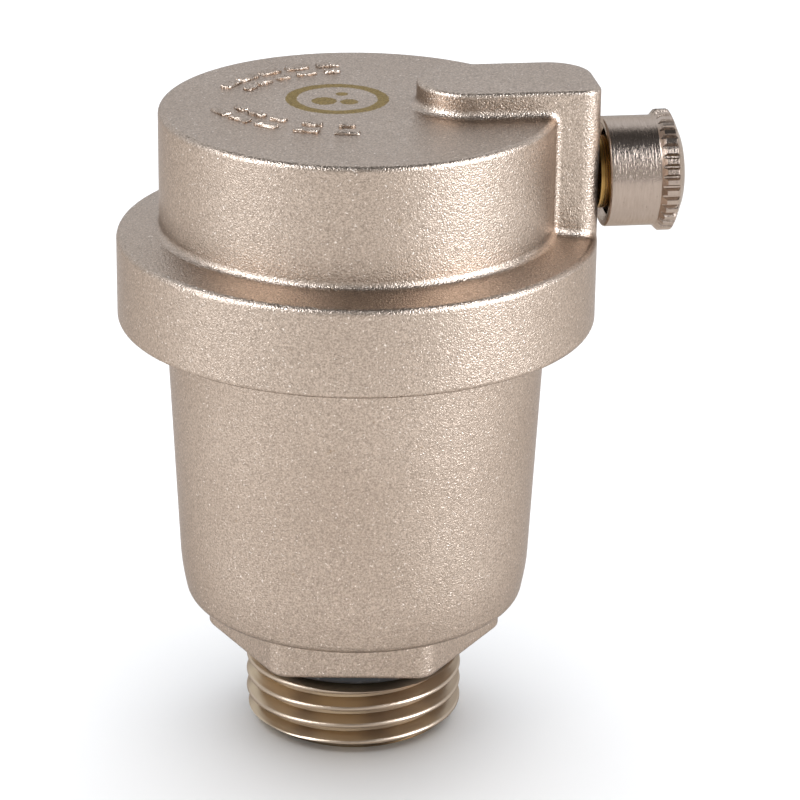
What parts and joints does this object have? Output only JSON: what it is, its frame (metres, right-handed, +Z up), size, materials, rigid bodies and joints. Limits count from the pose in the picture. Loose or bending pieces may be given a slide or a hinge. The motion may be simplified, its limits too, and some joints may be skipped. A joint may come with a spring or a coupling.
{
  "type": "automatic air vent",
  "caption": "Automatic air vent: nickel-plated cup with a male pipe thread, screwed cover, float and lever valve inside, knurled side cap.",
  "frame": {"origin": "on the inlet thread's axis at the thread's lower end", "axes": "+Z up along the inlet axis, +X along the side outlet, outward"},
  "size_m": [0.0531, 0.045, 0.0641],
  "materials": {
    "blasted_nickel": "sandblasted, nickel-plated brass forging, satin",
    "turned_nickel": "turned, nickel-plated brass, fine circular tool marks",
    "brass": "bare machined brass",
    "black_rubber": "moulded black rubber, slightly dusty",
    "stainless_sheet": "stamped stainless steel",
    "float_plastic": "moulded natural polypropylene"
  },
  "bodies": {
    "housing": {"body": "blasted_nickel", "cover": "blasted_nickel", "cover_seal_ring": "black_rubber", "inlet_seal_ring": "black_rubber", "nozzle": "brass", "nozzle_seal_ring": "black_rubber", "lever_bracket": "stainless_sheet", "bracket_lock_washer": "stainless_sheet", "bracket_lock_nut": "brass", "lever_pin": "stainless_sheet", "pin_clips": "stainless_sheet"},
    "float": {"float_shell": "float_plastic", "float_lid": "float_plastic", "link_pin": "stainless_sheet"},
    "lever": {"lever": "stainless_sheet", "valve_pad": "black_rubber", "pad_rivet": "stainless_sheet"},
    "gasket": {"cap_gasket": "black_rubber"},
    "side_cap": {"vent_cap": "turned_nickel"}
  },
  "joints": [
    {"name": "float_lift", "type": "slide", "parent": "housing", "child": "float", "axis": [0, 0, 1], "range_m": [0, 0.0022]},
    {"name": "lever_tilt", "type": "hinge", "parent": "housing", "child": "lever", "pos_m": [0.013, 0, 0.051], "axis": [0, 1, 0], "range_deg": [0, 9.7]},
    {"name": "cap_travel", "type": "slide", "parent": "housing", "child": "gasket", "axis": [1, 0, 0], "range_m": [0, 0.004]},
    {"name": "cap_turn", "type": "hinge", "parent": "gasket", "child": "side_cap", "pos_m": [0.0265, 0, 0.05475], "axis": [1, 0, 0], "range_deg": [0, 1440]}
  ],
  "couplings": [
    {"joint": "lever_tilt", "follows": "float_lift", "rad_per_m": 76.923},
    {"joint": "cap_turn", "follows": "cap_travel", "rad_per_m": 6283.2}
  ]
}
